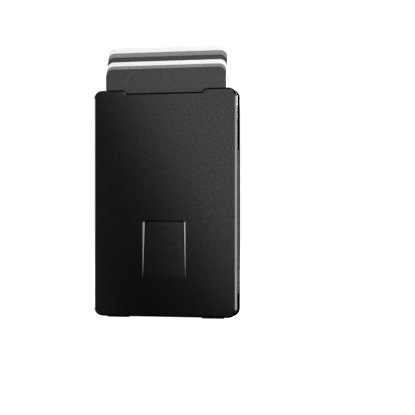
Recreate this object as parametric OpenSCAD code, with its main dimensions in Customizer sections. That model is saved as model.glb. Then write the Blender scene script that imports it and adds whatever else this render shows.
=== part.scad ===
// Slim card wallet with a money clip, standing upright on its bottom edge.
// +Z runs up the long side and the front face looks towards -Y.
// Depths named "..._s" are measured from the front face towards the back.

/* [Plates] */
// Width of the two outer plates
plate_w = 64.2; // [63:0.1:66]
// Height of the two outer plates
plate_h = 99.2; // [94:0.1:102]
// Thickness of each outer plate
plate_t = 1.5; // [1.5:0.1:2]
// Radius of the outer plates' corners, seen from the front
corner_r = 4; // [3:0.5:5]
// Width of the sloping edge round each outer face
edge_bevel = 1; // [0.3:0.1:1.2]
// Thickness of each inner plate
inner_t = 0.6; // [0.6:0.1:1]
// How far the inner plates' outline lies inside the outer plates'
inner_inset = 2; // [1.6:0.1:2.4]
// Width of the thumb notch's floor in the front plate's top edge
notch_w = 33.5; // [28:0.5:38]
// Depth of the thumb notch
notch_d = 1.5; // [1:0.05:1.8]

/* [Cards] */
// Width of a card
card_w = 53.98; // [53.92:0.01:54.03]
// Height of a card
card_h = 85.6; // [85.47:0.01:85.72]
// Thickness of a card
card_t = 0.76; // [0.68:0.01:0.84]
// Radius of a card's corners
card_r = 3.18; // [2.88:0.1:3.48]
// Free gap on each side of every card
card_gap = 0.05; // [0.04:0.01:0.06]
// How far each card stands above the plates, from the front card to the back one
card_rises = [9.3, 10.8, 12.7, 14.9, 16.9, 19.3]; // [0:0.1:20]

/* [Push tab] */
// Width of the push tab's window in the front face
tab_window_w = 19.5; // [16:0.5:22]
// Half width of the push tab at its root
tab_root_half = 9.45; // [7.8:0.05:9.5]
// Half width of the push tab at its tip
tab_tip_half = 8.3; // [6:0.05:8.4]
// Height of the push tab's root above the plates' bottom edge
tab_root_z = 17; // [14:0.5:18]
// Height of the push tab's tip above the plates' bottom edge
tab_tip_z = 41.2; // [36:0.1:42]
// Height of the slot above the tip
tab_slot = 0.8; // [0.6:0.1:1]
// How far the tip's outer face is sunk below the front face
tab_sink = 0.6; // [0.4:0.05:0.7]

/* [Elastic] */
// Thickness of the elastic webbing
elastic_t = 0.7; // [0.6:0.05:0.7]
// How far the bottom bands stand proud of the plates' bottom edge
elastic_proud = 0.5; // [0.3:0.05:0.6]
// How far the side bands are sunk inside the plates' side edges
side_band_sunk = 0.4; // [0.2:0.05:0.8]
// Lower end of the side bands above the plates' bottom edge
side_band_low = 10.4; // [8:0.1:14]
// Upper end of the side bands above the plates' bottom edge
side_band_high = 72.6; // [60:0.1:74]
// Distance from the middle to the inner end of a bottom band
bottom_band_in = 16.4; // [15:0.1:17]
// Distance from the middle to the outer end of a bottom band
bottom_band_out = 26.2; // [22:0.1:27]
// How far the webbing reaches into its channels
flange_reach = 5; // [4:0.5:5]

/* [Money clip] */
// Thickness of the clip's spring steel
clip_t = 0.8; // [0.7:0.05:0.8]
// Width of the clip's straight arm
arm_w = 26; // [22:0.5:27]
// Width of the clip at its bottom bend
clip_base_w = 54.8; // [50:0.5:54.8]
// Height at which the arm starts to widen towards the bottom
flare_z = 35; // [30:1:38]
// Height of the chin, where the clip stands out furthest
chin_z = 5; // [4:0.5:6]
// How far the chin stands out from the back face
chin_out = 3.6; // [3.2:0.1:4.5]
// Height of the crease where the arm comes closest to the back face
crease_z = 55.9; // [50:0.5:58]
// Height of the lip's top edge
lip_z = 62.8; // [58:0.5:64]
// Distance from the back face to the lip's inner top edge
lip_out = 2.2; // [1.6:0.1:3]
// Width of the flange that the clip is screwed on by
clip_flange_w = 27; // [24:0.5:28]
// Height of that flange
clip_flange_h = 13; // [10:0.5:14]

/* [Banknote] */
// Width of the folded banknote
note_w = 39; // [36:0.5:42]
// Height of the folded banknote
note_h = 66.3; // [60:0.1:70]
// Thickness of the folded banknote
note_t = 0.8; // [0.5:0.05:0.9]
// How far the banknote lies to the right of the middle
note_x = 1.2; // [-2:0.1:2]
// Height of the banknote's bottom edge above the plates' bottom edge
note_low = 2.8; // [2:0.1:6]

/* [Screws] */
// Radius of the screws' shanks
shank_r = 0.7; // [0.5:0.05:0.7]
// Radius of the screws' countersunk heads
head_r = 1.3; // [1.1:0.05:1.4]
// Height of the countersunk heads
head_h = 0.5; // [0.4:0.05:0.5]
// Depth of thread in the plate
thread_l = 1.1; // [0.9:0.05:1.2]
// Height of the upper pair of screws
screw_high = 91; // [86:1:92]
// Distance of the upper pair from the middle
screw_high_x = 24; // [20:0.5:25]
// Height of the middle pair of screws
screw_mid = 50; // [46:1:60]
// Height of the lower pair of screws
screw_low = 10; // [9.5:0.5:12]
// Distance of the middle and lower pairs from the middle
screw_low_x = 21; // [19:0.5:22]

/* [Hidden] */
CARD_COUNT = len(card_rises);
$fn = 48;
FINE = 0.03;                       // clearance between pieces that lie against each other
THROUGH = 1;                       // how far a cutting shape runs past a face
BOTTOM = elastic_proud;            // the plates stand this far above the ground
TOP = BOTTOM + plate_h;
CARD_PITCH = card_t + card_gap;
CAVITY = CARD_COUNT * CARD_PITCH + card_gap;
HALF_T = plate_t + inner_t;        // one outer and one inner plate
CAVITY_S = HALF_T;                 // where the space for the cards starts
BODY_T = 2 * HALF_T + CAVITY;      // both halves and the cards
Y_FRONT = -(BODY_T + chin_out) / 2;
CHANNEL_D = elastic_t + 2 * FINE;  // depth of the webbing's channels
INNER_R = corner_r - 1;            // corner radius of the inner plates
SCREWS = [
    [-screw_high_x, screw_high], [screw_high_x, screw_high],
    [-screw_low_x, screw_mid], [screw_low_x, screw_mid],
    [-screw_low_x, screw_low], [screw_low_x, screw_low]
];
CLIP_SCREW_X = [-9, 0, 9];
CLIP_SCREW_Z = 7;
TAB_SLIT = 0.3;                    // slit down each side of the push tab
TAB_ROOT_GAP = 0.1;                // clearance at the push tab's root
TAB_CORNER = 1;                    // radius of the push tab's top corners
NOTE_GAP = 0.06;                   // clearance on each face of the banknote
CREASE_OUT = note_t + 2 * NOTE_GAP + 0.02;
PIVOT_OUT = 0.45;                  // the clip's bend, from the back face
PIVOT_Z = clip_t / 2;              // the clip's bend, from the plates' bottom edge
BEND_GAP = 0.06;                   // clearance at the clip's bend
FLARE_STEPS = 14;

// Stands an XZ outline up between the depths from_s and to_s.
module slab(from_s, to_s) {
    translate([0, Y_FRONT + to_s, 0])
        rotate([90, 0, 0])
            linear_extrude(to_s - from_s)
                children();
}

// Puts a round shape at (x, z), with its +Z running towards the back from depth s.
module at_depth(x, z, s) {
    translate([x, Y_FRONT + s, BOTTOM + z])
        rotate([-90, 0, 0])
            children();
}

// Extrudes a profile drawn as [depth, height] across the width from -half_w to half_w.
module across(half_w) {
    translate([-half_w, Y_FRONT, BOTTOM])
        rotate([90, 0, 90])
            linear_extrude(2 * half_w)
                children();
}

module rounded_rect(w, h, r) {
    translate([-w / 2 + r, r])
        square([w - 2 * r, h - 2 * r]);
    translate([-w / 2, r])
        square([w, h - 2 * r]);
    translate([-w / 2 + r, 0])
        square([w - 2 * r, h]);
    for (x = [-w / 2 + r, w / 2 - r], y = [r, h - r])
        translate([x, y])
            circle(r);
}

// An outer plate whose bevelled face looks towards the front.
module bevelled_plate() {
    hull()
        for (x = [-plate_w / 2 + corner_r, plate_w / 2 - corner_r], z = [corner_r, plate_h - corner_r])
            at_depth(x, z, 0)
                cylinder(h = edge_bevel, r1 = corner_r - edge_bevel, r2 = corner_r, $fn = 32);
    slab(edge_bevel, plate_t)
        translate([0, BOTTOM])
            rounded_rect(plate_w, plate_h, corner_r, $fn = 32);
}

// Turns a front-half shape round to the back half.
module to_back() {
    translate([0, 2 * Y_FRONT + BODY_T, 0])
        mirror([0, 1, 0])
            children();
}

// The channels in an outer plate's inner face for all four bands.
module channels() {
    for (side = [-1, 1]) {
        slab(plate_t - CHANNEL_D, plate_t + THROUGH)
            translate([side > 0 ? plate_w / 2 - flange_reach - FINE : -plate_w / 2 - THROUGH,
                       BOTTOM + side_band_low - FINE])
                square([flange_reach + FINE + THROUGH, side_band_high - side_band_low + 2 * FINE]);
        slab(plate_t - CHANNEL_D, plate_t + THROUGH)
            translate([(side > 0 ? bottom_band_in : -bottom_band_out) - FINE, BOTTOM - THROUGH])
                square([bottom_band_out - bottom_band_in + 2 * FINE, flange_reach + FINE + THROUGH]);
    }
}

module thumb_notch() {
    slope = 1.1 * notch_d;
    half = notch_w / 2;
    slab(-THROUGH, plate_t + THROUGH)
        polygon([
            [-half, TOP - notch_d], [half, TOP - notch_d],
            [half + slope, TOP], [half + slope, TOP + THROUGH],
            [-half - slope, TOP + THROUGH], [-half - slope, TOP]
        ]);
}

// The push tab's outline, with extra width on each side and extra length at the tip.
module tab_outline(extra_side, extra_tip) {
    root = BOTTOM + tab_root_z;
    tip = BOTTOM + tab_tip_z + extra_tip;
    r = TAB_CORNER;
    polygon([
        [-tab_root_half - extra_side, root], [tab_root_half + extra_side, root],
        [tab_tip_half + extra_side, tip - r], [tab_tip_half + extra_side - 0.3 * r, tip - 0.3 * r],
        [tab_tip_half + extra_side - r, tip], [-tab_tip_half - extra_side + r, tip],
        [-tab_tip_half - extra_side + 0.3 * r, tip - 0.3 * r], [-tab_tip_half - extra_side, tip - r]
    ]);
}

// The window for the push tab: a slit all round it, and a ramped recess that deepens to the tip.
module tab_window() {
    slab(-THROUGH, plate_t + THROUGH)
        tab_outline(TAB_SLIT, tab_slot);
    intersection() {
        across(tab_window_w / 2)
            polygon([
                [-THROUGH, tab_root_z], [0, tab_root_z],
                [tab_sink, tab_tip_z], [tab_sink, tab_tip_z + tab_slot], [-THROUGH, tab_tip_z + tab_slot]
            ]);
        slab(-THROUGH, plate_t)
            translate([0, BOTTOM + tab_root_z])
                rounded_rect(tab_window_w, tab_tip_z + tab_slot - tab_root_z, TAB_CORNER);
    }
}

// Countersunk screws that hold an inner plate on, with their heads on the cards' side.
module countersunk(x, z, top_s, length, loose) {
    at_depth(x, z, top_s - head_h)
        cylinder(h = head_h + loose, r1 = shank_r + loose, r2 = head_r + loose);
    at_depth(x, z, top_s - length)
        cylinder(h = length, r = shank_r + loose);
}

module plate_screws(loose) {
    for (place = SCREWS)
        countersunk(place[0], place[1], HALF_T, inner_t + thread_l, loose);
}

module clip_fasteners(loose) {
    for (x = CLIP_SCREW_X)
        countersunk(x, CLIP_SCREW_Z, plate_t, plate_t - 0.3, loose);
}

module front_plate() {
    color("#26272a")
        difference() {
            bevelled_plate();
            channels();
            thumb_notch();
            tab_window();
            plate_screws(FINE);
        }
}

module push_tab() {
    color("#2d2e31")
        intersection() {
            slab(0, plate_t)
                difference() {
                    tab_outline(0, 0);
                    translate([-plate_w / 2, 0])
                        square([plate_w, BOTTOM + tab_root_z + TAB_ROOT_GAP]);
                }
            across(plate_w / 2)
                polygon([
                    [0, tab_root_z], [plate_t, tab_root_z], [plate_t, tab_tip_z], [tab_sink, tab_tip_z]
                ]);
        }
}

// An inner plate. Its outline is smaller than the outer plate's, which leaves a groove round the edge.
module inner_sheet() {
    slab(plate_t, HALF_T)
        translate([0, BOTTOM + inner_inset])
            rounded_rect(plate_w - 2 * inner_inset, plate_h - 2 * inner_inset, INNER_R);
}

module front_inner_plate() {
    window_w = tab_window_w + 1;
    color("#3a3b3e")
        difference() {
            inner_sheet();
            plate_screws(FINE);
            slab(0, HALF_T + THROUGH)
                translate([-window_w / 2, BOTTOM + tab_root_z - 1])
                    square([window_w, tab_tip_z - tab_root_z + 1.2]);
        }
}

module front_screws() {
    color("silver")
        plate_screws(0);
}

module back_plate() {
    color("#26272a")
        difference() {
            to_back()
                difference() {
                    bevelled_plate();
                    channels();
                    plate_screws(FINE);
                    clip_fasteners(FINE);
                    // pocket for the clip's flange
                    slab(plate_t - clip_t - FINE, plate_t + THROUGH)
                        translate([-clip_flange_w / 2 - FINE, BOTTOM - THROUGH])
                            square([clip_flange_w + 2 * FINE, clip_flange_h + FINE + THROUGH]);
                }
            // the bottom edge is set back where the clip passes under it
            translate([0, BODY_T - plate_t, 0])
                slab(-THROUGH, plate_t + THROUGH)
                    translate([-clip_flange_w / 2 - FINE, BOTTOM - THROUGH])
                        square([clip_flange_w + 2 * FINE, clip_t + FINE + THROUGH]);
        }
}

module back_inner_plate() {
    color("#3a3b3e")
        to_back()
            difference() {
                inner_sheet();
                plate_screws(FINE);
            }
}

module back_screws() {
    color("silver")
        to_back()
            plate_screws(0);
}

// The clip's flange, and the strip that passes under the back plate's bottom edge.
module clip_base() {
    color("#1d1e20")
        to_back()
            difference() {
                union() {
                    slab(plate_t - clip_t, plate_t)
                        translate([-clip_flange_w / 2, BOTTOM])
                            square([clip_flange_w, clip_flange_h]);
                    slab(BEND_GAP + clip_t / 2 - PIVOT_OUT, plate_t)
                        translate([-clip_flange_w / 2, BOTTOM])
                            square([clip_flange_w, clip_t]);
                }
                clip_fasteners(FINE);
            }
}

module clip_screws() {
    color("silver")
        to_back()
            clip_fasteners(0);
}

// The arm's half width: straight above flare_z, then widening with the square of the drop.
function flare(z) = arm_w / 2 + (clip_base_w - arm_w) / 2 * pow(max(0, flare_z - z) / flare_z, 2);

module arm_outline() {
    r = 2.5;
    heights = [for (i = [0 : FLARE_STEPS]) flare_z * i / FLARE_STEPS];
    polygon(concat(
        [for (z = heights) [flare(z), z]],
        [[arm_w / 2, lip_z - r], [arm_w / 2 - 0.3 * r, lip_z - 0.3 * r], [arm_w / 2 - r, lip_z]],
        [[-arm_w / 2 + r, lip_z], [-arm_w / 2 + 0.3 * r, lip_z - 0.3 * r], [-arm_w / 2, lip_z - r]],
        [for (i = [FLARE_STEPS : -1 : 0]) [-flare(heights[i]), heights[i]]]
    ));
}

// The bent strip's profile as [distance behind the back face, height].
module arm_profile() {
    chin_in = chin_out - clip_t;
    polygon([
        [PIVOT_OUT, 0], [PIVOT_OUT + 0.35, 0.1], [chin_out, chin_z],
        [CREASE_OUT + clip_t, crease_z], [lip_out + clip_t, lip_z],
        [lip_out, lip_z], [CREASE_OUT, crease_z],
        [chin_in, chin_z + 0.1], [PIVOT_OUT - 0.35, PIVOT_Z + 0.35], [PIVOT_OUT, PIVOT_Z]
    ]);
    translate([PIVOT_OUT, PIVOT_Z])
        circle(clip_t / 2);
}

module clip_arm() {
    color("#1d1e20")
        intersection() {
            translate([0, BODY_T, 0])
                across(clip_base_w / 2)
                    arm_profile();
            translate([0, BODY_T, 0])
                slab(-THROUGH, chin_out + THROUGH)
                    translate([0, BOTTOM])
                        arm_outline();
        }
}

// A band round one edge: two flanges in the plates' channels and a web that ends at reach.
module band_profile(reach) {
    depth = BODY_T - 2 * (plate_t - CHANNEL_D + FINE);
    square([reach, elastic_t]);
    translate([0, depth - elastic_t])
        square([reach, elastic_t]);
    translate([reach - elastic_t, 0])
        square([elastic_t, depth]);
}

module side_band(side) {
    mirror([side > 0 ? 0 : 1, 0, 0])
        translate([plate_w / 2 - flange_reach, Y_FRONT + plate_t - CHANNEL_D + FINE, BOTTOM + side_band_low])
            linear_extrude(side_band_high - side_band_low)
                band_profile(flange_reach - side_band_sunk);
}

module bottom_band(side) {
    mirror([side > 0 ? 0 : 1, 0, 0])
        translate([bottom_band_in, Y_FRONT + plate_t - CHANNEL_D + FINE, BOTTOM + flange_reach])
            rotate([0, 90, 0])
                linear_extrude(bottom_band_out - bottom_band_in)
                    band_profile(flange_reach + elastic_proud);
}

module left_elastic() {
    color("#101112")
        side_band(-1);
}

module right_elastic() {
    color("#101112")
        side_band(1);
}

module bottom_left_elastic() {
    color("#101112")
        bottom_band(-1);
}

module bottom_right_elastic() {
    color("#101112")
        bottom_band(1);
}

// Card number i, counted from the front.
module card(i, shade) {
    from_s = CAVITY_S + card_gap + (i - 1) * CARD_PITCH;
    top = TOP + card_rises[i - 1];
    color(shade)
        slab(from_s, from_s + card_t)
            translate([0, top - card_h])
                rounded_rect(card_w, card_h, card_r);
}

module folded_note() {
    color("#d6d8c6")
        translate([note_x, BODY_T, 0])
            slab(NOTE_GAP, NOTE_GAP + note_t)
                translate([0, BOTTOM + note_low])
                    rounded_rect(note_w, note_h, 0.6);
}

front_plate();
push_tab();
front_inner_plate();
front_screws();
back_plate();
back_inner_plate();
back_screws();
clip_base();
clip_arm();
clip_screws();
left_elastic();
right_elastic();
bottom_left_elastic();
bottom_right_elastic();
card(1, "#4b4d51");  // card_1
card(2, "#8f9193");  // card_2
card(3, "#f4f4f2");  // card_3
card(4, "#46484b");  // card_4
card(5, "#8f9193");  // card_5
card(6, "#f4f4f2");  // card_6
folded_note();
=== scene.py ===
"""Looks of the slim card wallet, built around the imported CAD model.

Lengths in the mesh code are millimetres in the CAD frame: +X right, +Z up, front towards -Y.
They become metres when a mesh is made.
"""

import math

import bmesh
import bpy
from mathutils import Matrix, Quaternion, Vector


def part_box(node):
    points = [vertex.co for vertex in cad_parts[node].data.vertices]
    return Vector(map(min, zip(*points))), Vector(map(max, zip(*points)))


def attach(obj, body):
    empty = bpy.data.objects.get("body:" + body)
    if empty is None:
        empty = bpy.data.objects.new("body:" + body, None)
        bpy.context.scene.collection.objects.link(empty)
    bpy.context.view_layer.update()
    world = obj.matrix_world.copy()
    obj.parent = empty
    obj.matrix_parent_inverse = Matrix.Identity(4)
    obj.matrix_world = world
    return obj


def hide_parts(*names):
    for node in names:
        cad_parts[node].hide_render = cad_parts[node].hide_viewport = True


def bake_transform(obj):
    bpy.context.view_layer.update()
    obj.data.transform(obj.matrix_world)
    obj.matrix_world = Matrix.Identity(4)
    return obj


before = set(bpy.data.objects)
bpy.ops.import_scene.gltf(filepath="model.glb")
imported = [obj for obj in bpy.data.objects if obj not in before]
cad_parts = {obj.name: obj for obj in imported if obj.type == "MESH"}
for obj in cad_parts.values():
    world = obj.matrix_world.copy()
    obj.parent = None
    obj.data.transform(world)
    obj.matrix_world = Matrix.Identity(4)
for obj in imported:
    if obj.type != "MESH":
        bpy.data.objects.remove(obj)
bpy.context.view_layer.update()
scene = bpy.context.scene

MM = 0.001


def cad(node):
    """Lowest and highest corner of a CAD node, in millimetres."""
    low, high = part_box(node)
    return low / MM, high / MM


# ---------------------------------------------------------------- places from the frame
PLATE_LO, PLATE_HI = cad("front_plate")
BACK_LO, BACK_HI = cad("back_plate")
TAB_TIP = cad("push_tab")[1].z
HALF_W = PLATE_HI.x
BOTTOM, TOP = PLATE_LO.z, PLATE_HI.z
Y_FRONT, Y_BACK = PLATE_LO.y, BACK_HI.y
PLATE_T = PLATE_HI.y - PLATE_LO.y
CORNER_R = 4.0
BEVEL = 0.76               # width of the sloping edge
CLIP_T = 0.8               # thickness of the clip's steel
LOOSE = 0.03               # clearance round a piece that lies in a channel


# ---------------------------------------------------------------- outlines and meshes
def arc(centre, spoke, turn, steps):
    """Points on an arc that starts at centre + spoke and goes round by turn radians."""
    points = []
    for k in range(steps + 1):
        a = turn * k / steps
        points.append(centre + Vector((
            spoke.x * math.cos(a) - spoke.y * math.sin(a),
            spoke.x * math.sin(a) + spoke.y * math.cos(a),
        )))
    return points


def rounded(points, radii, inset=0.0, steps=8):
    """A closed outline, anticlockwise, moved inwards by inset, with its corners turned to arcs."""
    n = len(points)
    moved, sides = [], []
    for i in range(n):
        a, b, c = (Vector(points[(i + k) % n]) for k in (-1, 0, 1))
        into, out = (b - a).normalized(), (c - b).normalized()
        n_in, n_out = Vector((-into.y, into.x)), Vector((-out.y, out.x))
        moved.append(b + (n_in + n_out) * inset / (1 + n_in.dot(n_out)))
        sides.append((into, out, n_in))
    ring = []
    for (into, out, n_in), corner, radius in zip(sides, moved, radii):
        turn = math.atan2(into.x * out.y - into.y * out.x, into.dot(out))
        if radius <= 0 or abs(turn) < 0.01:
            ring.append(corner)
            continue
        r = max(radius - inset, 0.02) if turn > 0 else radius + inset
        sign = 1 if turn > 0 else -1
        start = corner - into * r * math.tan(abs(turn) / 2)
        centre = start + n_in * r * sign
        ring += arc(centre, start - centre, turn, steps)
    return ring


def fillet_path(points, radii, step, arc_steps):
    """An open 2-D path with rounded corners, with points no further apart than step."""
    out = [Vector(points[0])]
    for i in range(1, len(points) - 1):
        a, b, c = (Vector(p) for p in points[i - 1:i + 2])
        into, leave = (b - a).normalized(), (c - b).normalized()
        turn = math.atan2(into.x * leave.y - into.y * leave.x, into.dot(leave))
        r = radii[i - 1]
        sign = 1 if turn > 0 else -1
        start = b - into * r * math.tan(abs(turn) / 2)
        centre = start + Vector((-into.y, into.x)) * r * sign
        out += arc(centre, start - centre, turn, arc_steps)
    out.append(Vector(points[-1]))
    dense = [out[0]]
    for p in out[1:]:
        gap = p - dense[-1]
        count = max(1, math.ceil(gap.length / step))
        last = dense[-1]
        dense += [last + gap * k / count for k in range(1, count + 1)]
    return dense


def path_normals(path):
    """The left-hand normal at each point of an open 2-D path."""
    normals = []
    for i in range(len(path)):
        d = (path[min(i + 1, len(path) - 1)] - path[max(i - 1, 0)]).normalized()
        normals.append(Vector((-d.y, d.x)))
    return normals


def round_off(over, radius):
    """How much narrower a strip is where it is over millimetres into its rounded end."""
    return radius - math.sqrt(max(radius ** 2 - over ** 2, 0.0)) if over > 0 else 0.0


def add_ring(bm, points):
    return [bm.verts.new(p) for p in points]


def bridge(bm, a, b, index=0):
    """Faces between two closed rings of the same length, which may share vertices."""
    n = len(a)
    for i in range(n):
        k = (i + 1) % n
        face = list(dict.fromkeys((a[i], a[k], b[k], b[i])))
        if len(face) > 2:
            bm.faces.new(face).material_index = index


def loft(bm, rings):
    """Faces between each ring and the next."""
    for a, b in zip(rings, rings[1:]):
        bridge(bm, a, b)


def cap_strip(bm, ring):
    """Closes a thin section whose ring runs along one side and back along the other."""
    n = len(ring) // 2
    for i in range(n - 1):
        bm.faces.new([ring[i], ring[i + 1], ring[2 * n - 2 - i], ring[2 * n - 1 - i]])


def link_mesh(bm, name):
    """Turns bm into a mesh object of the scene."""
    mesh = bpy.data.meshes.new(name)
    bm.to_mesh(mesh)
    bm.free()
    obj = bpy.data.objects.new(name, mesh)
    scene.collection.objects.link(obj)
    return obj


def soften(obj, bevel, segments, sharp):
    """Rounds the edges that are sharper than sharp degrees."""
    made = obj.modifiers.new("edges", "BEVEL")
    made.width = bevel * MM
    made.segments = segments
    made.limit_method = "ANGLE"
    made.angle_limit = math.radians(sharp)


def finish_mesh(bm, name, materials, body=None, sharp=32.0, bevel=0.0):
    """Turns bm, in millimetres, into an object in metres that rides on body."""
    bmesh.ops.remove_doubles(bm, verts=bm.verts, dist=0.0005)
    bmesh.ops.recalc_face_normals(bm, faces=bm.faces)
    for face in bm.faces:
        face.smooth = True
    for edge in bm.edges:
        if len(edge.link_faces) == 2:
            edge.smooth = edge.calc_face_angle(0.0) < math.radians(sharp)
    for vert in bm.verts:
        vert.co *= MM
    obj = link_mesh(bm, name)
    for m in materials:
        obj.data.materials.append(m)
    if bevel:
        soften(obj, bevel, 3, sharp)
    weight = obj.modifiers.new("normals", "WEIGHTED_NORMAL")
    weight.keep_sharp = True
    if body:
        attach(obj, body)
    return obj


BOX_FACES = ((0, 1, 3, 2), (4, 6, 7, 5), (0, 4, 5, 1), (2, 3, 7, 6), (0, 2, 6, 4), (1, 5, 7, 3))


def cut(obj, boxes):
    """Cuts boxes, as (low, high) in millimetres, out of a mesh, and applies the result."""
    bm = bmesh.new()
    for low, high in boxes:
        corners = [bm.verts.new(Vector((
            (low, high)[i & 1][0], (low, high)[i >> 1 & 1][1], (low, high)[i >> 2 & 1][2],
        )) * MM) for i in range(8)]
        for quad in BOX_FACES:
            bm.faces.new([corners[k] for k in quad])
    bmesh.ops.recalc_face_normals(bm, faces=bm.faces)
    cutter = link_mesh(bm, "cutter")
    mod = obj.modifiers.new("cut", "BOOLEAN")
    mod.operation = "DIFFERENCE"
    mod.solver = "EXACT"
    mod.use_self = True   # the boxes may overlap
    mod.object = cutter
    others = [m for m in obj.modifiers if m.name != "cut"]
    for m in others:
        m.show_viewport = False
    graph = bpy.context.evaluated_depsgraph_get()
    made = bpy.data.meshes.new_from_object(obj.evaluated_get(graph))
    obj.modifiers.remove(mod)
    for m in others:
        m.show_viewport = True
    spare = [obj.data, cutter.data]
    obj.data = made
    bpy.data.objects.remove(cutter)
    for mesh in spare:
        bpy.data.meshes.remove(mesh)


# ---------------------------------------------------------------- materials
class Graph:
    """A node material built round one Principled shader, in the object's own coordinates."""

    def __init__(self, name):
        self.material = bpy.data.materials.new(name)
        self.material.use_nodes = True
        self.tree = self.material.node_tree
        self.shader = self.tree.nodes["Principled BSDF"]
        self.place = self.tree.nodes.new("ShaderNodeTexCoord").outputs["Object"]

    def put(self, socket, value):
        if isinstance(value, bpy.types.NodeSocket):
            self.tree.links.new(value, socket)
        else:
            socket.default_value = value

    def node(self, kind, inputs=(), **settings):
        made = self.tree.nodes.new("ShaderNode" + kind)
        for key, value in settings.items():
            setattr(made, key, value)
        for key, value in dict(inputs).items():
            self.put(made.inputs[key], value)
        return made

    def mapped(self, scale=(1, 1, 1), rotation=(0, 0, 0), location=(0, 0, 0)):
        return self.node("Mapping", {
            "Vector": self.place, "Scale": scale, "Rotation": rotation, "Location": location,
        }).outputs["Vector"]

    def noise(self, size, detail, roughness, vector=None):
        """Noise with features of about size millimetres."""
        return self.node("TexNoise", {
            "Vector": vector or self.place, "Scale": 1 / (size * MM), "Detail": detail,
            "Roughness": roughness,
        }).outputs["Fac"]

    def cells(self, size):
        """Distance from the middle of the nearest of many cells, about size millimetres apart."""
        return self.node("TexVoronoi", {
            "Vector": self.place, "Scale": 1 / (size * MM),
        }).outputs["Distance"]

    def wave(self, size, vector=None, distortion=0.0, detail=0.0, phase=0.0, **kind):
        """Straight waves or rings, size millimetres apart."""
        return self.node("TexWave", {
            "Vector": vector or self.place, "Scale": 1 / (size * MM) * math.pi / 10,
            "Distortion": distortion, "Detail": detail, "Phase Offset": phase,
        }, **kind).outputs["Fac"]

    def bands(self, size, direction, **how):
        return self.wave(size, wave_type="BANDS", bands_direction=direction, **how)

    def map(self, value, low, high, new_low, new_high, smooth=False):
        return self.node("MapRange", {
            "Value": value, "From Min": low, "From Max": high, "To Min": new_low, "To Max": new_high,
        }, interpolation_type="SMOOTHSTEP" if smooth else "LINEAR").outputs["Result"]

    def math(self, operation, a, b=0.0):
        return self.node("Math", {0: a, 1: b}, operation=operation).outputs[0]

    def mix(self, factor, a, b):
        """Colour a where factor is 0, and colour b where it is 1."""
        return self.node("Mix", {0: factor, 6: a, 7: b}, data_type="RGBA").outputs[2]

    def bump(self, height, depth, strength=1.0, under=None):
        """Bump that is depth millimetres deep where height goes from 0 to 1."""
        inputs = {"Height": height, "Distance": depth * MM, "Strength": strength}
        if under is not None:
            inputs["Normal"] = under
        return self.node("Bump", inputs).outputs["Normal"]

    def set(self, **inputs):
        for key, value in inputs.items():
            self.put(self.shader.inputs[key.replace("_", " ")], value)
        return self.material


def grey(value, tint=(1.0, 1.0, 1.0)):
    """A grey colour, or a faintly tinted one."""
    return (*(value * t for t in tint), 1.0)


WARM = (1.02, 1.0, 0.97)


def anodised(name, dark, light, rough_low, rough_high, blast, gloss):
    """Bead-blasted, black anodised aluminium: a fine pitted grain with faint mottling and rubbed specks.

    blast is the depth of the grain in millimetres. The grit changes the tone and the strength of the gloss.
    """
    g = Graph(name)
    grain = g.noise(0.22, 3.0, 0.6)
    grit = g.noise(0.7, 2.0, 0.75)
    pits = g.cells(0.45)
    mottle = g.noise(6.0, 3.0, 0.55)
    rub = g.noise(2.6, 5.0, 0.7)
    tone = g.mix(g.map(grit, 0.36, 0.66, 0.0, 1.0), grey(dark, WARM), grey(light, WARM))
    tone = g.mix(g.map(rub, 0.7, 0.78, 0.0, 0.12, True), tone, grey(light * 2.2, WARM))
    glint = g.mix(g.map(grit, 0.4, 0.64, 0.0, 1.0), grey(0.58), grey(1.0))
    rough = g.math("ADD", g.map(grain, 0.3, 0.7, rough_low, rough_high),
                   g.map(mottle, 0.3, 0.7, -0.006, 0.006))
    normal = g.bump(grit, blast * 0.4)
    normal = g.bump(grain, blast * 0.6, 1.0, normal)
    normal = g.bump(pits, blast * 0.6, 0.6, normal)
    return g.set(Base_Color=tone, Roughness=rough, Normal=normal, Metallic=0.0, IOR=1.54,
                 Specular_IOR_Level=gloss, Specular_Tint=glint)


def plate_edge(name):
    """The cut sloping edge of a plate: smoother than the blasted face, with faint lengthwise tool lines."""
    g = Graph(name)
    lines = g.noise(0.12, 2.0, 0.5, g.mapped((1.0, 1.0, 0.05)))
    wear = g.noise(1.4, 6.0, 0.75)
    tone = g.mix(g.map(wear, 0.62, 0.74, 0.0, 0.5, True), grey(0.002), grey(0.035))
    rough = g.math("ADD", g.map(lines, 0.3, 0.7, 0.17, 0.25), g.map(wear, 0.4, 0.7, 0.0, 0.05))
    return g.set(Base_Color=tone, Roughness=rough, Normal=g.bump(lines, 0.004), Metallic=0.0, IOR=1.5)


def spring_steel(name):
    """Black coated spring steel with a soft satin gloss and fine lengthwise brushing."""
    g = Graph(name)
    brushed = g.noise(0.16, 3.0, 0.6, g.mapped((1.0, 1.0, 0.04)))
    orange_peel = g.noise(0.9, 2.0, 0.5)
    wear = g.noise(3.0, 6.0, 0.72)
    tone = g.mix(g.map(orange_peel, 0.3, 0.7, 0.0, 1.0), grey(0.0006, WARM), grey(0.0014, WARM))
    tone = g.mix(g.map(wear, 0.70, 0.82, 0.0, 0.3, True), tone, grey(0.012, WARM))
    rough = g.math("ADD", g.map(brushed, 0.3, 0.7, 0.09, 0.13), g.map(wear, 0.4, 0.75, 0.0, 0.03))
    normal = g.bump(brushed, 0.0025)
    normal = g.bump(orange_peel, 0.003, 0.7, normal)
    return g.set(Base_Color=tone, Roughness=rough, Normal=normal, Metallic=0.0, IOR=1.55)


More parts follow.
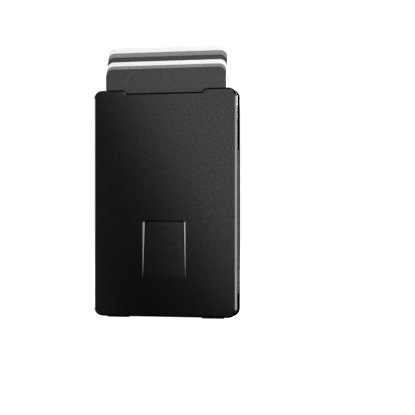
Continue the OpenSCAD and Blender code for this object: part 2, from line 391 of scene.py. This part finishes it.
def cut_steel(name):
    """The strip's cut sides, where the coating is thin and the steel shines through."""
    g = Graph(name)
    lines = g.noise(0.10, 2.0, 0.5, g.mapped((0.1, 1.0, 0.1)))
    wear = g.noise(0.9, 5.0, 0.7)
    tone = g.mix(g.map(wear, 0.35, 0.65, 0.0, 1.0), grey(0.10, WARM), grey(0.42, WARM))
    rough = g.map(lines, 0.3, 0.7, 0.28, 0.42)
    return g.set(Base_Color=tone, Roughness=rough, Normal=g.bump(lines, 0.004), Metallic=0.7)


def webbing(name, along, across):
    """Woven elastic: rubber cords under a fine two-way thread. along is the way that it stretches."""
    g = Graph(name)
    warp = g.bands(0.34, across)
    weft = g.bands(0.42, along, distortion=0.6, detail=1.0)
    thread = g.math("MULTIPLY", warp, weft)
    fuzz = g.noise(0.12, 3.0, 0.7)
    fade = g.noise(5.0, 3.0, 0.5)
    tone = g.mix(thread, grey(0.004), grey(0.013))
    tone = g.mix(g.map(fade, 0.3, 0.7, 0.0, 0.4), tone, grey(0.018))
    rough = g.map(fuzz, 0.3, 0.7, 0.72, 0.92)
    normal = g.bump(thread, 0.07)
    normal = g.bump(fuzz, 0.02, 0.6, normal)
    return g.set(Base_Color=tone, Roughness=rough, Normal=normal,
                 Sheen_Weight=0.06, Sheen_Roughness=0.5)


def card_plastic(name, dark, light, rough, vein):
    """Laminated card stock: satin plastic with curved flow lines, fine specks and hairline scratches.

    vein is how strongly the flow lines show in the colour, from 0 to 1.
    """
    g = Graph(name)
    fine = g.noise(0.9, 2.0, 0.75)
    cloud = g.noise(9.0, 3.0, 0.5)
    flow = g.math("SINE", g.math("MULTIPLY", g.noise(26.0, 1.0, 0.4), 215.0))
    flow = g.math("MULTIPLY", g.map(flow, 0.2, 1.0, 0.0, 1.0, True), g.map(cloud, 0.35, 0.65, 0.2, 1.0))
    hair = None
    for turn, threshold in ((72.0, 0.685), (48.0, 0.715), (-20.0, 0.725)):
        scratch = g.noise(0.42, 3.0, 0.6, g.mapped((0.035, 1.0, 1.0), (0.0, math.radians(turn), 0.0)))
        line = g.map(scratch, threshold, threshold + 0.05, 0.0, 1.0, True)
        hair = line if hair is None else g.math("MAXIMUM", hair, line)
    tone = g.mix(g.map(cloud, 0.3, 0.7, 0.0, 1.0), grey(dark), grey(light))
    tone = g.mix(g.map(fine, 0.35, 0.68, 0.0, 0.55), tone, grey(min(1.0, light * 1.45)))
    tone = g.mix(g.math("MULTIPLY", flow, vein), tone, grey(dark * 0.72))
    tone = g.mix(g.math("MULTIPLY", hair, 0.8), tone, grey(min(1.0, light * 3.0)))
    level = g.math("ADD", g.map(fine, 0.3, 0.7, rough - 0.05, rough + 0.05),
                   g.math("MULTIPLY", hair, 0.12))
    normal = g.bump(fine, 0.010)
    normal = g.bump(flow, 0.004, 1.0, normal)
    normal = g.bump(hair, 0.004, 1.0, normal)
    return g.set(Base_Color=tone, Roughness=level, Normal=normal, IOR=1.48)


NOTE_MARGIN = 3.4          # blank strip along the top, in millimetres
NOTE_BAND = (3.4, 7.4)     # woven border: its start and end below the top edge
NOTE_SIDE = (0.9, 3.3)     # woven border: its start and end inside the right edge
ROSETTE = (7.5, 32.0)      # its middle, from the right edge and from the lower edge
ROSETTE_R = (9.0, 10.0)    # radii between which it fades out


def banknote(name, low, high):
    """Banknote paper with a generic engraved pattern between its corners low and high, in millimetres.

    A blank margin, a woven border, fine waves and one green rosette, with no text or picture.
    """
    g = Graph(name)
    place = g.node("SeparateXYZ", {"Vector": g.place}).outputs
    x, z = place["X"], place["Z"]
    fibre = g.noise(0.18, 4.0, 0.7)
    crumple = g.noise(7.0, 4.0, 0.6)

    def below(value, edge):
        return g.map(value, edge * MM, (edge - 0.12) * MM, 0.0, 1.0)

    def lines(size, degrees, distortion, phase=0.0):
        turned = g.mapped((1, 1, 1), (0, math.radians(degrees), 0))
        return g.bands(size, "X", vector=turned, distortion=distortion, detail=1.0, phase=phase)

    def times(*factors):
        product = factors[0]
        for factor in factors[1:]:
            product = g.math("MULTIPLY", product, factor)
        return product

    field = g.math("MAXIMUM", g.map(lines(0.62, 82, 3.0), 0.55, 0.8, 0.0, 0.8),
                   g.map(lines(0.74, 98, 4.0, 1.3), 0.6, 0.85, 0.0, 0.8))
    weave = times(lines(1.5, 45, 0.6), lines(1.5, -45, 0.6))
    weave = g.math("MAXIMUM", g.map(weave, 0.22, 0.3, 1.0, 0.0), g.map(weave, 0.62, 0.7, 0.0, 1.0))
    inside = below(z, high.z - NOTE_MARGIN)
    band = g.math("SUBTRACT", *(below(z, high.z - edge) for edge in NOTE_BAND))
    side = g.math("SUBTRACT", *(below(x, high.x - edge) for edge in NOTE_SIDE))
    border = times(g.math("MAXIMUM", band, side), inside)
    patch = g.map(g.noise(9.0, 2.0, 0.5), 0.40, 0.62, 0.35, 1.0, True)
    printed = g.math("MAXIMUM", times(field, patch, inside, 0.75), times(weave, border, 0.85))

    centred = g.mapped((1, 0, 1), (0, 0, 0), (-(high.x - ROSETTE[0]) * MM, 0.0, -(low.z + ROSETTE[1]) * MM))
    rings = g.wave(0.9, centred, 1.5, 1.0, wave_type="RINGS", rings_direction="Y")
    reach = g.node("VectorMath", {0: centred}, operation="LENGTH").outputs["Value"]
    rosette = g.map(reach, ROSETTE_R[0] * MM, ROSETTE_R[1] * MM, 1.0, 0.0)

    paper = g.mix(g.map(fibre, 0.3, 0.7, 0.0, 1.0), (0.76, 0.76, 0.67, 1.0), (0.88, 0.88, 0.79, 1.0))
    paper = g.mix(g.map(crumple, 0.3, 0.7, 0.0, 0.3), paper, (0.66, 0.67, 0.59, 1.0))
    tone = g.mix(printed, paper, (0.05, 0.055, 0.05, 1.0))
    tone = g.mix(times(g.map(rings, 0.4, 0.7, 0.1, 0.8), rosette), tone, (0.10, 0.24, 0.13, 1.0))
    normal = g.bump(crumple, 0.18, 0.6)
    normal = g.bump(fibre, 0.012, 0.8, normal)
    return g.set(Base_Color=tone, Roughness=g.map(fibre, 0.3, 0.7, 0.7, 0.85), Normal=normal)


def screw_steel(name):
    """Black-oxide screw heads, a little worn."""
    g = Graph(name)
    turned = g.noise(0.08, 2.0, 0.5, g.mapped((1.0, 0.1, 1.0)))
    wear = g.noise(0.8, 5.0, 0.7)
    tone = g.mix(g.map(wear, 0.5, 0.7, 0.0, 1.0), grey(0.12, WARM), grey(0.38, WARM))
    rough = g.map(turned, 0.3, 0.7, 0.25, 0.4)
    return g.set(Base_Color=tone, Roughness=rough, Normal=g.bump(turned, 0.004), Metallic=0.9)


FACE = anodised("black_anodised_face", 0.0002, 0.0016, 0.17, 0.215, 0.011, 0.55)
EDGE = plate_edge("black_anodised_edge")
INNER = anodised("inner_plate_finish", 0.0015, 0.0030, 0.50, 0.60, 0.008, 0.25)
STEEL = spring_steel("black_spring_steel")
CUT_STEEL = cut_steel("clip_cut_edge")
WEB_SIDE = webbing("elastic_weave_side", "Y", "Z")
WEB_BOTTOM = webbing("elastic_weave_bottom", "Y", "X")
CHARCOAL = card_plastic("card_charcoal_plastic", 0.028, 0.036, 0.36, 0.7)
MID_GREY = card_plastic("card_grey_plastic", 0.20, 0.24, 0.38, 0.3)
WHITE = card_plastic("card_white_plastic", 0.92, 0.96, 0.34, 0.04)
NOTE = banknote("banknote_paper_print", *cad("folded_note"))
SCREW = screw_steel("screw_black_oxide")


# ---------------------------------------------------------------- plates
# (inset from the outline, depth from the outer face) of the rings of a plate, outer face first
EDGE_RINGS = [
    (BEVEL + 0.10, 0.0), (BEVEL + 0.02, 0.012), (BEVEL - 0.06, 0.07),
    (0.07, BEVEL - 0.06), (0.012, BEVEL + 0.02), (0.0, BEVEL + 0.10),
    (0.0, PLATE_T - 0.10), (0.03, PLATE_T - 0.03), (0.10, PLATE_T),
]
EDGE_FACES = range(2, 5)   # the rings between which the sloping edge lies

NOTCH_HALF, NOTCH_D = 16.75, 1.5
NOTCH_SLOPE = 1.1 * NOTCH_D
NOTCH_RADII = [1.4, 1.0, 1.0, 1.4]
WINDOW_HALF = 9.54
WINDOW_LOW = BOTTOM + 17.0
WINDOW_HIGH = BOTTOM + 42.0
WINDOW_R, SLIT_R = 1.0, 0.8
SLIT_HALF = 8.78           # half width between the slits' outer sides, at the tip
RAMP_D = 0.54              # depth of the window's sloping sides at the tip


def plate_outline(notch):
    """A plate's corners and their radii, with or without the thumb notch in its top edge."""
    points = [(-HALF_W, BOTTOM), (HALF_W, BOTTOM), (HALF_W, TOP)]
    radii = [CORNER_R] * 3
    if notch:
        outer = NOTCH_HALF + NOTCH_SLOPE
        points += [(outer, TOP), (NOTCH_HALF, TOP - NOTCH_D), (-NOTCH_HALF, TOP - NOTCH_D), (-outer, TOP)]
        radii += NOTCH_RADII
    return [*points, (-HALF_W, TOP)], [*radii, CORNER_R]


def make_plate(name, outer_y, inwards, notch, window):
    """An outer plate. outer_y is its outer face, and inwards is +1 or -1 along Y.

    The window's sides slope down from its square mouth to the slit round the push tab.
    """
    bm = bmesh.new()
    points, radii = plate_outline(notch)
    rings = []
    for inset, depth in EDGE_RINGS:
        outline = rounded(points, radii, inset, 10)
        rings.append(add_ring(bm, [(p.x, outer_y + inwards * depth, p.y) for p in outline]))
    for i in range(len(rings) - 1):
        bridge(bm, rings[i], rings[i + 1], 1 if i in EDGE_FACES else 0)
    caps = [[rings[0]], [rings[-1]]]
    if window:
        square = [(-WINDOW_HALF, WINDOW_LOW), (WINDOW_HALF, WINDOW_LOW),
                  (WINDOW_HALF, WINDOW_HIGH), (-WINDOW_HALF, WINDOW_HIGH)]
        slit = [(-WINDOW_HALF, WINDOW_LOW), (WINDOW_HALF, WINDOW_LOW),
                (SLIT_HALF, WINDOW_HIGH), (-SLIT_HALF, WINDOW_HIGH)]
        shapes = [rounded(square, [0, 0, WINDOW_R, WINDOW_R]), rounded(slit, [0, 0, SLIT_R, SLIT_R])]
        rise = WINDOW_HIGH - WINDOW_LOW
        mouth = add_ring(bm, [(p.x, outer_y, p.y) for p in shapes[0]])
        ramp = add_ring(bm, [
            (p.x, outer_y + inwards * RAMP_D * (p.y - WINDOW_LOW) / rise, p.y) for p in shapes[1]
        ])
        ramp[0], ramp[1] = mouth[0], mouth[1]
        below = add_ring(bm, [(p.x, outer_y + inwards * PLATE_T, p.y) for p in shapes[1]])
        bridge(bm, mouth, ramp, 1)
        bridge(bm, ramp, below, 2)
        caps[0].append(mouth)
        caps[1].append(below)
    for cap in caps:
        pairs = [pair for ring in cap for pair in zip(ring, [*ring[1:], ring[0]])]
        edges = [bm.edges.get(pair) or bm.edges.new(pair) for pair in pairs]
        bmesh.ops.triangle_fill(bm, use_beauty=True, use_dissolve=False, edges=edges)
    return finish_mesh(bm, name, [FACE, EDGE, INNER])


channel_lo, channel_hi = cad("right_elastic")
bottom_lo, bottom_hi = cad("bottom_right_elastic")
CHANNEL_D = 0.76           # depth of the channels for the elastic
FLANGE = 5.03              # how far they reach in from the plate's edge


def channel_boxes(inner_y, inwards):
    """The four channels for the elastic in a plate's inner face."""
    y = sorted((inner_y + inwards, inner_y - inwards * CHANNEL_D))
    boxes = []
    for side in (-1, 1):
        x = sorted((side * (HALF_W - FLANGE), side * (HALF_W + 1)))
        boxes.append(((x[0], y[0], channel_lo.z - LOOSE), (x[1], y[1], channel_hi.z + LOOSE)))
        x = sorted((side * (bottom_lo.x - LOOSE), side * (bottom_hi.x + LOOSE)))
        boxes.append(((x[0], y[0], BOTTOM - 1), (x[1], y[1], BOTTOM + FLANGE)))
    return boxes


front = make_plate("front_plate_shell", Y_FRONT, 1, True, True)
cut(front, channel_boxes(PLATE_HI.y, 1))
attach(front, "front_half")
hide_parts("front_plate")

back = make_plate("back_plate_shell", Y_BACK, -1, False, False)
clip_lo, clip_hi = cad("clip_base")
pocket_lo = (clip_lo.x - LOOSE, BACK_LO.y - 1, BOTTOM - 1)
pocket_x, pocket_d = clip_hi.x + LOOSE, CLIP_T + LOOSE
cut(back, [
    *channel_boxes(BACK_LO.y, -1),
    (pocket_lo, (pocket_x, BACK_LO.y + pocket_d, clip_hi.z + LOOSE)),   # the clip's flange
    (pocket_lo, (pocket_x, Y_BACK + 1, BOTTOM + pocket_d)),             # the strip under the edge
])
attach(back, "back_half")
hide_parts("back_plate")


# ---------------------------------------------------------------- push tab
TAB_ROOT_HALF, TAB_TIP_HALF = 9.45, 8.3
TAB_SINK = 0.6             # how far the tip lies below the face
TAB_BEND = 4.0             # length of the root in which the bend starts
TAB_TIP_R = 1.0
TAB_EDGE, TAB_BACK_EDGE = 0.16, 0.05
TAB_ROWS = 40


def make_tab():
    """The tongue, one surface with the plate's face at its root, sinking below it towards the tip."""
    bm = bmesh.new()
    length = TAB_TIP - WINDOW_LOW
    rows = []
    levels = sorted({length * k / TAB_ROWS for k in range(TAB_ROWS + 1)}
                    | {length - TAB_TIP_R * (1 - math.sin(math.radians(a))) for a in range(0, 91, 10)})
    for v in levels:
        half = TAB_ROOT_HALF + (TAB_TIP_HALF - TAB_ROOT_HALF) * v / length
        half -= round_off(v - (length - TAB_TIP_R), TAB_TIP_R)
        bend = min(1.0, v / TAB_BEND)
        sink = max(TAB_SINK * (v - bend * (2 - bend)) / (length - 1.0), 0.0)
        z = WINDOW_LOW + v
        near, far = Y_FRONT + sink, Y_FRONT + PLATE_T
        right = [(half - TAB_EDGE, near), (half - TAB_EDGE * 0.3, near + TAB_EDGE * 0.3),
                 (half, near + TAB_EDGE), (half, far - TAB_BACK_EDGE), (half - TAB_BACK_EDGE, far)]
        left = [(-x, y) for x, y in right]
        rows.append(add_ring(bm, [(x, y, z) for x, y in [left[0], *right, *left[:0:-1]]]))
    loft(bm, rows)
    bm.faces.new(rows[0])
    bm.faces.new(rows[-1])
    return finish_mesh(bm, "push_tab_tongue", [FACE], sharp=40)


tab = make_tab()
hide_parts("push_tab")
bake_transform(tab)


# ---------------------------------------------------------------- elastic
RIB, RIB_H = 1.25, 0.09    # pitch and height of the ribs
RIB_ROW = 0.25             # distance between the rings of a band
WEB_T = 0.7
WEB_R = 0.75               # radius of the folds
HEM, HEM_D = 0.5, 0.16     # length and depth of the rounding at a band's ends


def make_band(name, node, out_axis, sign, material):
    """A woven band, in section a C round the plates' edge, with one rib per rubber cord along it."""
    low, high = cad(node)
    sweep = "z" if out_axis == "x" else "x"
    half_t = WEB_T / 2
    edge_out = (high.x if sign > 0 else low.x) if out_axis == "x" else low.z
    flange_in = (low.x if sign > 0 else high.x) if out_axis == "x" else high.z
    u_web, u_in = edge_out - sign * half_t, flange_in
    y0, y1 = low.y + half_t, high.y - half_t
    path = fillet_path([(u_in, y0), (u_web, y0), (u_web, y1), (u_in, y1)], [WEB_R, WEB_R], 0.6, 6)
    normals = path_normals(path)
    middle = Vector(((u_in + u_web) / 2, (y0 + y1) / 2))
    outward = 1 if normals[0].dot(path[0] - middle) > 0 else -1
    start, end = getattr(low, sweep), getattr(high, sweep)
    count = round((end - start) / RIB_ROW)
    bm = bmesh.new()
    rings = []
    for k in range(count + 1):
        w = start + (end - start) * k / count
        to_end = min(w - start, end - w)
        tuck = 0.0 if to_end > HEM else HEM_D * (1 - to_end / HEM) ** 2
        rib = RIB_H * (0.5 - 0.5 * math.cos(2 * math.pi * (w - start) / RIB))
        outer = [p + n * outward * (half_t - RIB_H + rib - tuck) for p, n in zip(path, normals)]
        inner = [p - n * outward * (half_t - tuck) for p, n in zip(path, normals)]
        loop = outer + inner[::-1]
        rings.append(add_ring(bm, [(p.x, p.y, w) if out_axis == "x" else (w, p.y, p.x) for p in loop]))
    loft(bm, rings)
    for ring in (rings[0], rings[-1]):
        cap_strip(bm, ring)
    band = finish_mesh(bm, name, [material], sharp=50)
    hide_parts(node)
    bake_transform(band)


for node, out_axis, sign, weave in (
    ("left_elastic", "x", -1, WEB_SIDE), ("right_elastic", "x", 1, WEB_SIDE),
    ("bottom_left_elastic", "z", -1, WEB_BOTTOM), ("bottom_right_elastic", "z", -1, WEB_BOTTOM),
):
    make_band(f"{node}_band", node, out_axis, sign, weave)


# ---------------------------------------------------------------- money clip
ARM_HALF, BASE_HALF, FLANGE_HALF = 13.0, 27.4, 13.5
FLARE_Z, CHIN_Z, CREASE_Z, LIP_Z, FLANGE_Z = 35.0, 5.0, 55.9, 62.8, 13.0
LIP_R, FLANGE_R = 2.5, 1.5   # corner radii of the strip's two ends
CHIN_D, CREASE_D, LIP_D = 3.2, 1.34, 2.6   # depths of the strip's middle behind the back face
CURL_Z, ARM_SLOPE = 17.0, 0.015
FLANGE_D, UNDER_D, UNDER_Z = -1.1, 0.55, 0.4   # the flange's depth, and the bend under the back plate
ARM_FROM = 0.45            # depth from which the strip is wide
STEP = 0.02                # height of the step between the narrow and the wide part


def make_clip():
    """The clip as one bent strip: flange, bend under the plate, chin, arm, crease and lip."""
    half_t = CLIP_T / 2
    # the arm is nearly straight above CURL_Z, and curls outwards below it
    bow_d = CREASE_D + ARM_SLOPE * (CREASE_Z - CURL_Z)
    curl = (CHIN_D - bow_d - ARM_SLOPE * (CURL_Z - CHIN_Z)) / (CURL_Z - CHIN_Z) ** 2
    heights = [CHIN_Z + (CURL_Z - CHIN_Z) * k / 12 for k in range(1, 13)]
    arm = [(bow_d + ARM_SLOPE * (CURL_Z - z) + curl * (CURL_Z - z) ** 2, z) for z in heights]
    points = [(FLANGE_D, FLANGE_Z), (FLANGE_D, UNDER_Z), (UNDER_D, UNDER_Z), (CHIN_D, CHIN_Z),
              *arm, (CREASE_D, CREASE_Z), (LIP_D, LIP_Z)]
    path = fillet_path(points, [0.42, 1.6, 1.2, *[0.5] * len(arm), 6.0], 0.8, 10)
    normals = path_normals(path)
    bm = bmesh.new()
    rows = []
    inner = [FLANGE_HALF - 1.0, 9.0, 5.0, 0.0]
    previous = None
    for p, n in zip(path, normals):
        z = p.y
        on_arm = p.x > ARM_FROM
        if on_arm:
            drop = max(0.0, FLARE_Z - z) / FLARE_Z
            half = ARM_HALF + (BASE_HALF - ARM_HALF) * drop ** 2 - round_off(z - (LIP_Z - LIP_R), LIP_R)
        else:
            half = FLANGE_HALF - round_off(z - (FLANGE_Z - FLANGE_R), FLANGE_R)
        widths = [(half, p)]
        if previous is not None and on_arm != previous[1]:
            widths = [(previous[0], p + (previous[2] - p).normalized() * STEP), (half, p)]
        previous = (half, on_arm, p)
        for w, q in widths:
            base = min(FLANGE_HALF - 1.0, w - 0.6)
            side = [base + (w - base) * k / 6 for k in range(6, 0, -1)]
            side += [base * x / inner[0] for x in inner]
            xs = [-x for x in side] + side[-2::-1]
            rows.append(([(x, q.x + n.x * half_t, q.y + n.y * half_t) for x in xs],
                         [(x, q.x - n.x * half_t, q.y - n.y * half_t) for x in xs]))
    made = []
    for near, far in rows:
        loop = near + far[::-1]
        made.append(add_ring(bm, [(x, Y_BACK + d, BOTTOM + z) for x, d, z in loop]))
    loft(bm, made)
    for ring in (made[0], made[-1]):
        cap_strip(bm, ring)
    bm.normal_update()
    for face in bm.faces:
        face.material_index = 1 if abs(face.normal.x) > 0.6 else 0
    return finish_mesh(bm, "money_clip", [STEEL, CUT_STEEL], sharp=50, bevel=0.12)


clip = make_clip()
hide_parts("clip_base", "clip_arm")
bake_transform(clip)


# ---------------------------------------------------------------- cards
CARD_R = 3.18
CARD_EDGE = 0.14


def make_card(number, material):
    """A card with softened edges, in its CAD node's place."""
    low, high = cad(f"card_{number}")
    bm = bmesh.new()
    points = [(low.x, low.z), (high.x, low.z), (high.x, high.z), (low.x, high.z)]
    edge = [(CARD_EDGE, 0), (CARD_EDGE * 0.35, CARD_EDGE * 0.25), (0, CARD_EDGE)]
    levels = [(inset, low.y + depth) for inset, depth in edge]
    levels += [(inset, high.y - depth) for inset, depth in reversed(edge)]
    rings = [add_ring(bm, [(p.x, y, p.y) for p in rounded(points, [CARD_R] * 4, inset, 12)])
             for inset, y in levels]
    loft(bm, rings)
    bm.faces.new(rings[0])
    bm.faces.new(rings[-1])
    card = finish_mesh(bm, f"card_{number}_body", [material], f"card_{number}", 40)
    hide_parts(f"card_{number}")


for number, (material, slot) in enumerate([
    (CHARCOAL, "card_charcoal"), (MID_GREY, "card_grey"), (WHITE, "card_white"),
    (CHARCOAL, "card_charcoal"), (MID_GREY, "card_grey"), (WHITE, "card_white"),
], 1):
    make_card(number, material)


# ---------------------------------------------------------------- banknote
PAPER, LAYER_PITCH = 0.10, 0.22
FOLD_STEPS, RUN_STEPS, NOTE_ROWS = 8, 26, 40
LAST_EDGE = 0.6            # how far the innermost layer ends short of the others


def make_note():
    """A banknote folded twice along its length, so that four layers lie on each other."""
    low, high = cad("folded_note")
    front_y = low.y + 0.02 + PAPER / 2
    layers = [front_y + LAYER_PITCH * k for k in range(4)]
    left, right = low.x + PAPER / 2, high.x - PAPER / 2

    def fold(x, y_from, y_to, side):
        r, mid = abs(y_to - y_from) / 2, (y_from + y_to) / 2
        sign = 1 if y_to > y_from else -1
        angles = [math.pi * k / FOLD_STEPS for k in range(1, FOLD_STEPS)]
        return [(x + side * r * math.sin(a), mid - sign * r * math.cos(a)) for a in angles]

    def run(x0, x1, y):
        return [(x0 + (x1 - x0) * k / RUN_STEPS, y) for k in range(RUN_STEPS + 1)]

    big, small = 1.5 * LAYER_PITCH, 0.5 * LAYER_PITCH   # radii of the outer and the inner folds
    path = run(right, left + big, layers[3])
    path += fold(left + big, layers[3], layers[0], -1)
    path += run(left + big, right - small, layers[0])
    path += fold(right - small, layers[0], layers[1], 1)
    path += run(right - small, left + big, layers[1])
    path += fold(left + big, layers[1], layers[2], -1)
    path += run(left + big, right - LAST_EDGE, layers[2])
    path = [Vector(p) for p in path]
    normals = path_normals(path)
    bm = bmesh.new()
    rings = []
    for k in range(NOTE_ROWS + 1):
        z = low.z + (high.z - low.z) * k / NOTE_ROWS
        ring = []
        for side in (1, -1):
            line = []
            for p, n in zip(path, normals):
                bow = 0.012 * math.sin(0.35 * p.x + 0.11 * z) + 0.010 * math.sin(0.21 * z)
                q = p + n * side * PAPER / 2
                line.append((q.x, q.y + bow, z))
            ring += line if side > 0 else line[::-1]
        rings.append(add_ring(bm, ring))
    loft(bm, rings)
    for ring in (rings[0], rings[-1]):
        cap_strip(bm, ring)
    note = finish_mesh(bm, "folded_banknote", [NOTE], "folded_note", 50)
    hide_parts("folded_note")


make_note()


# ---------------------------------------------------------------- CAD nodes that stay
def dress(node, material, bevel):
    """Gives a CAD node its material and softens its edges with modifiers."""
    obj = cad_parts[node]
    obj.data.materials.clear()
    obj.data.materials.append(material)
    obj.modifiers.new("weld", "WELD").merge_threshold = 0.00001
    soften(obj, bevel, 2, 35)
    obj.modifiers.new("normals", "WEIGHTED_NORMAL").keep_sharp = True


for node in ("front_inner_plate", "back_inner_plate"):
    dress(node, INNER, 0.08)
for node in ("front_screws", "back_screws", "clip_screws"):
    dress(node, SCREW, 0.05)


# ---------------------------------------------------------------- floor, light and camera
FLOOR_RADII, FLOOR_SIDES = (0.4, 1.0, 2.0, 4.0, 8.0, 16.0), 48
FLOOR_DROP = 0.0002        # keeps the floor clear of the object's lowest faces
GLOW, FILL = 1.05, 0.012   # strength of the white ground, and of the faint light from all round


def make_floor():
    """A wide, flat, pale floor, as bright as the ground behind it."""
    bm = bmesh.new()
    centre = bm.verts.new((0, 0, 0))
    angles = [2 * math.pi * k / FLOOR_SIDES for k in range(FLOOR_SIDES)]
    rings = [add_ring(bm, [(r * math.cos(a), r * math.sin(a), 0) for a in angles]) for r in FLOOR_RADII]
    for a, b in zip(rings[0], [*rings[0][1:], rings[0][0]]):
        bm.faces.new((centre, a, b))
    loft(bm, rings)
    floor = link_mesh(bm, "floor")
    g = Graph("pale_floor")
    speck = g.noise(40.0, 3.0, 0.5)
    tone = g.mix(speck, grey(0.93), grey(0.96))
    floor.data.materials.append(g.set(
        Base_Color=tone, Roughness=0.8, Emission_Color=grey(1.0), Emission_Strength=GLOW,
    ))
    floor.location.z = -FLOOR_DROP
    # the glowing floor lights nothing, shades nothing and isn't mirrored: panels and FILL light the object
    floor.visible_glossy = False
    floor.visible_shadow = False
    floor.visible_diffuse = False


make_floor()

world = bpy.data.worlds.new("studio")
scene.world = world
world.use_nodes = True
tree = world.node_tree
tree.nodes.clear()
out = tree.nodes.new("ShaderNodeOutputWorld")
choose = tree.nodes.new("ShaderNodeMixShader")
path_info = tree.nodes.new("ShaderNodeLightPath")
tree.links.new(path_info.outputs["Is Camera Ray"], choose.inputs[0])
for socket, strength in ((1, FILL), (2, GLOW)):
    ground = tree.nodes.new("ShaderNodeBackground")
    ground.inputs["Color"].default_value = (1, 1, 1, 1)
    ground.inputs["Strength"].default_value = strength
    tree.links.new(ground.outputs[0], choose.inputs[socket])
tree.links.new(choose.outputs[0], out.inputs["Surface"])


def panel(name, place, aim, width, height, radiance, roll=0.0):
    """A rectangular soft light of even radiance, aimed at a point. Places and sizes are in metres."""
    data = bpy.data.lights.new(name, "AREA")
    data.shape = "RECTANGLE"
    data.size, data.size_y = width, height
    data.energy = radiance * math.pi * width * height
    data.normalize = True
    lamp = bpy.data.objects.new(name, data)
    lamp.location = place
    lamp.rotation_mode = "QUATERNION"
    lamp.rotation_quaternion = ((Vector(aim) - Vector(place)).to_track_quat("-Z", "Y")
                                @ Quaternion((0, 0, 1), math.radians(roll)))
    lamp.visible_camera = False
    scene.collection.objects.link(lamp)


MID_Y = (Y_FRONT + Y_BACK) / 2 * MM
panel("side_left", (-0.55, 0.08, 0.06), (0.0, 0.08, 0.06), 0.54, 0.30, 9.5)
panel("side_right", (0.55, -0.095, 0.06), (0.0, -0.095, 0.06), 0.85, 0.30, 8.5)
MIDDLE = (0.0, MID_Y, 0.06)
for name, turn in (("front", 1), ("back", -1)):
    # the back is lit as the front is, turned half round
    panel(f"key_{name}", (turn * -0.045, MID_Y - turn * 0.498, 0.157), MIDDLE, 0.196, 0.36, 1.56, 28.3)
    panel(f"low_{name}", (turn * -0.186, MID_Y - turn * 0.298, -0.047), MIDDLE, 0.12, 0.30, 0.33)
    panel(f"top_{name}", (turn * 0.22, MID_Y - turn * 0.36, 0.62), (0.0, MID_Y, 0.08), 0.30, 0.26, 13.0)
# a small light behind, for the gleam on the clip's chin
panel("chin", (0.095, MID_Y + 0.49, 0.168), (0.0, MID_Y, 0.01), 0.10, 0.05, 12.0)

# the photograph's view: the eye stands AZIMUTH degrees round to the right and looks level
AZIMUTH, DISTANCE, YAW = 14.43, 468.7, 12.118
LENS, SENSOR = 93.539, 36.0
SHIFT_UP = 0.03518         # part of the picture's height by which the view is shifted up
EYE_Z = BOTTOM + 41.3
camera_data = bpy.data.cameras.new("camera")
camera_data.sensor_width = SENSOR
camera_data.lens = LENS
camera_data.shift_y = SHIFT_UP
camera_data.clip_start, camera_data.clip_end = 0.01, 50
camera = bpy.data.objects.new("camera", camera_data)
camera.location = Vector((DISTANCE * math.sin(math.radians(AZIMUTH)),
                          Y_FRONT - DISTANCE * math.cos(math.radians(AZIMUTH)), EYE_Z)) * MM
camera.rotation_euler = (math.radians(90), 0, math.radians(YAW))
scene.collection.objects.link(camera)
scene.camera = camera

scene.view_settings.view_transform = "Standard"
scene.view_settings.look = "None"
scene.view_settings.exposure = 0.0
scene.view_settings.gamma = 1.0
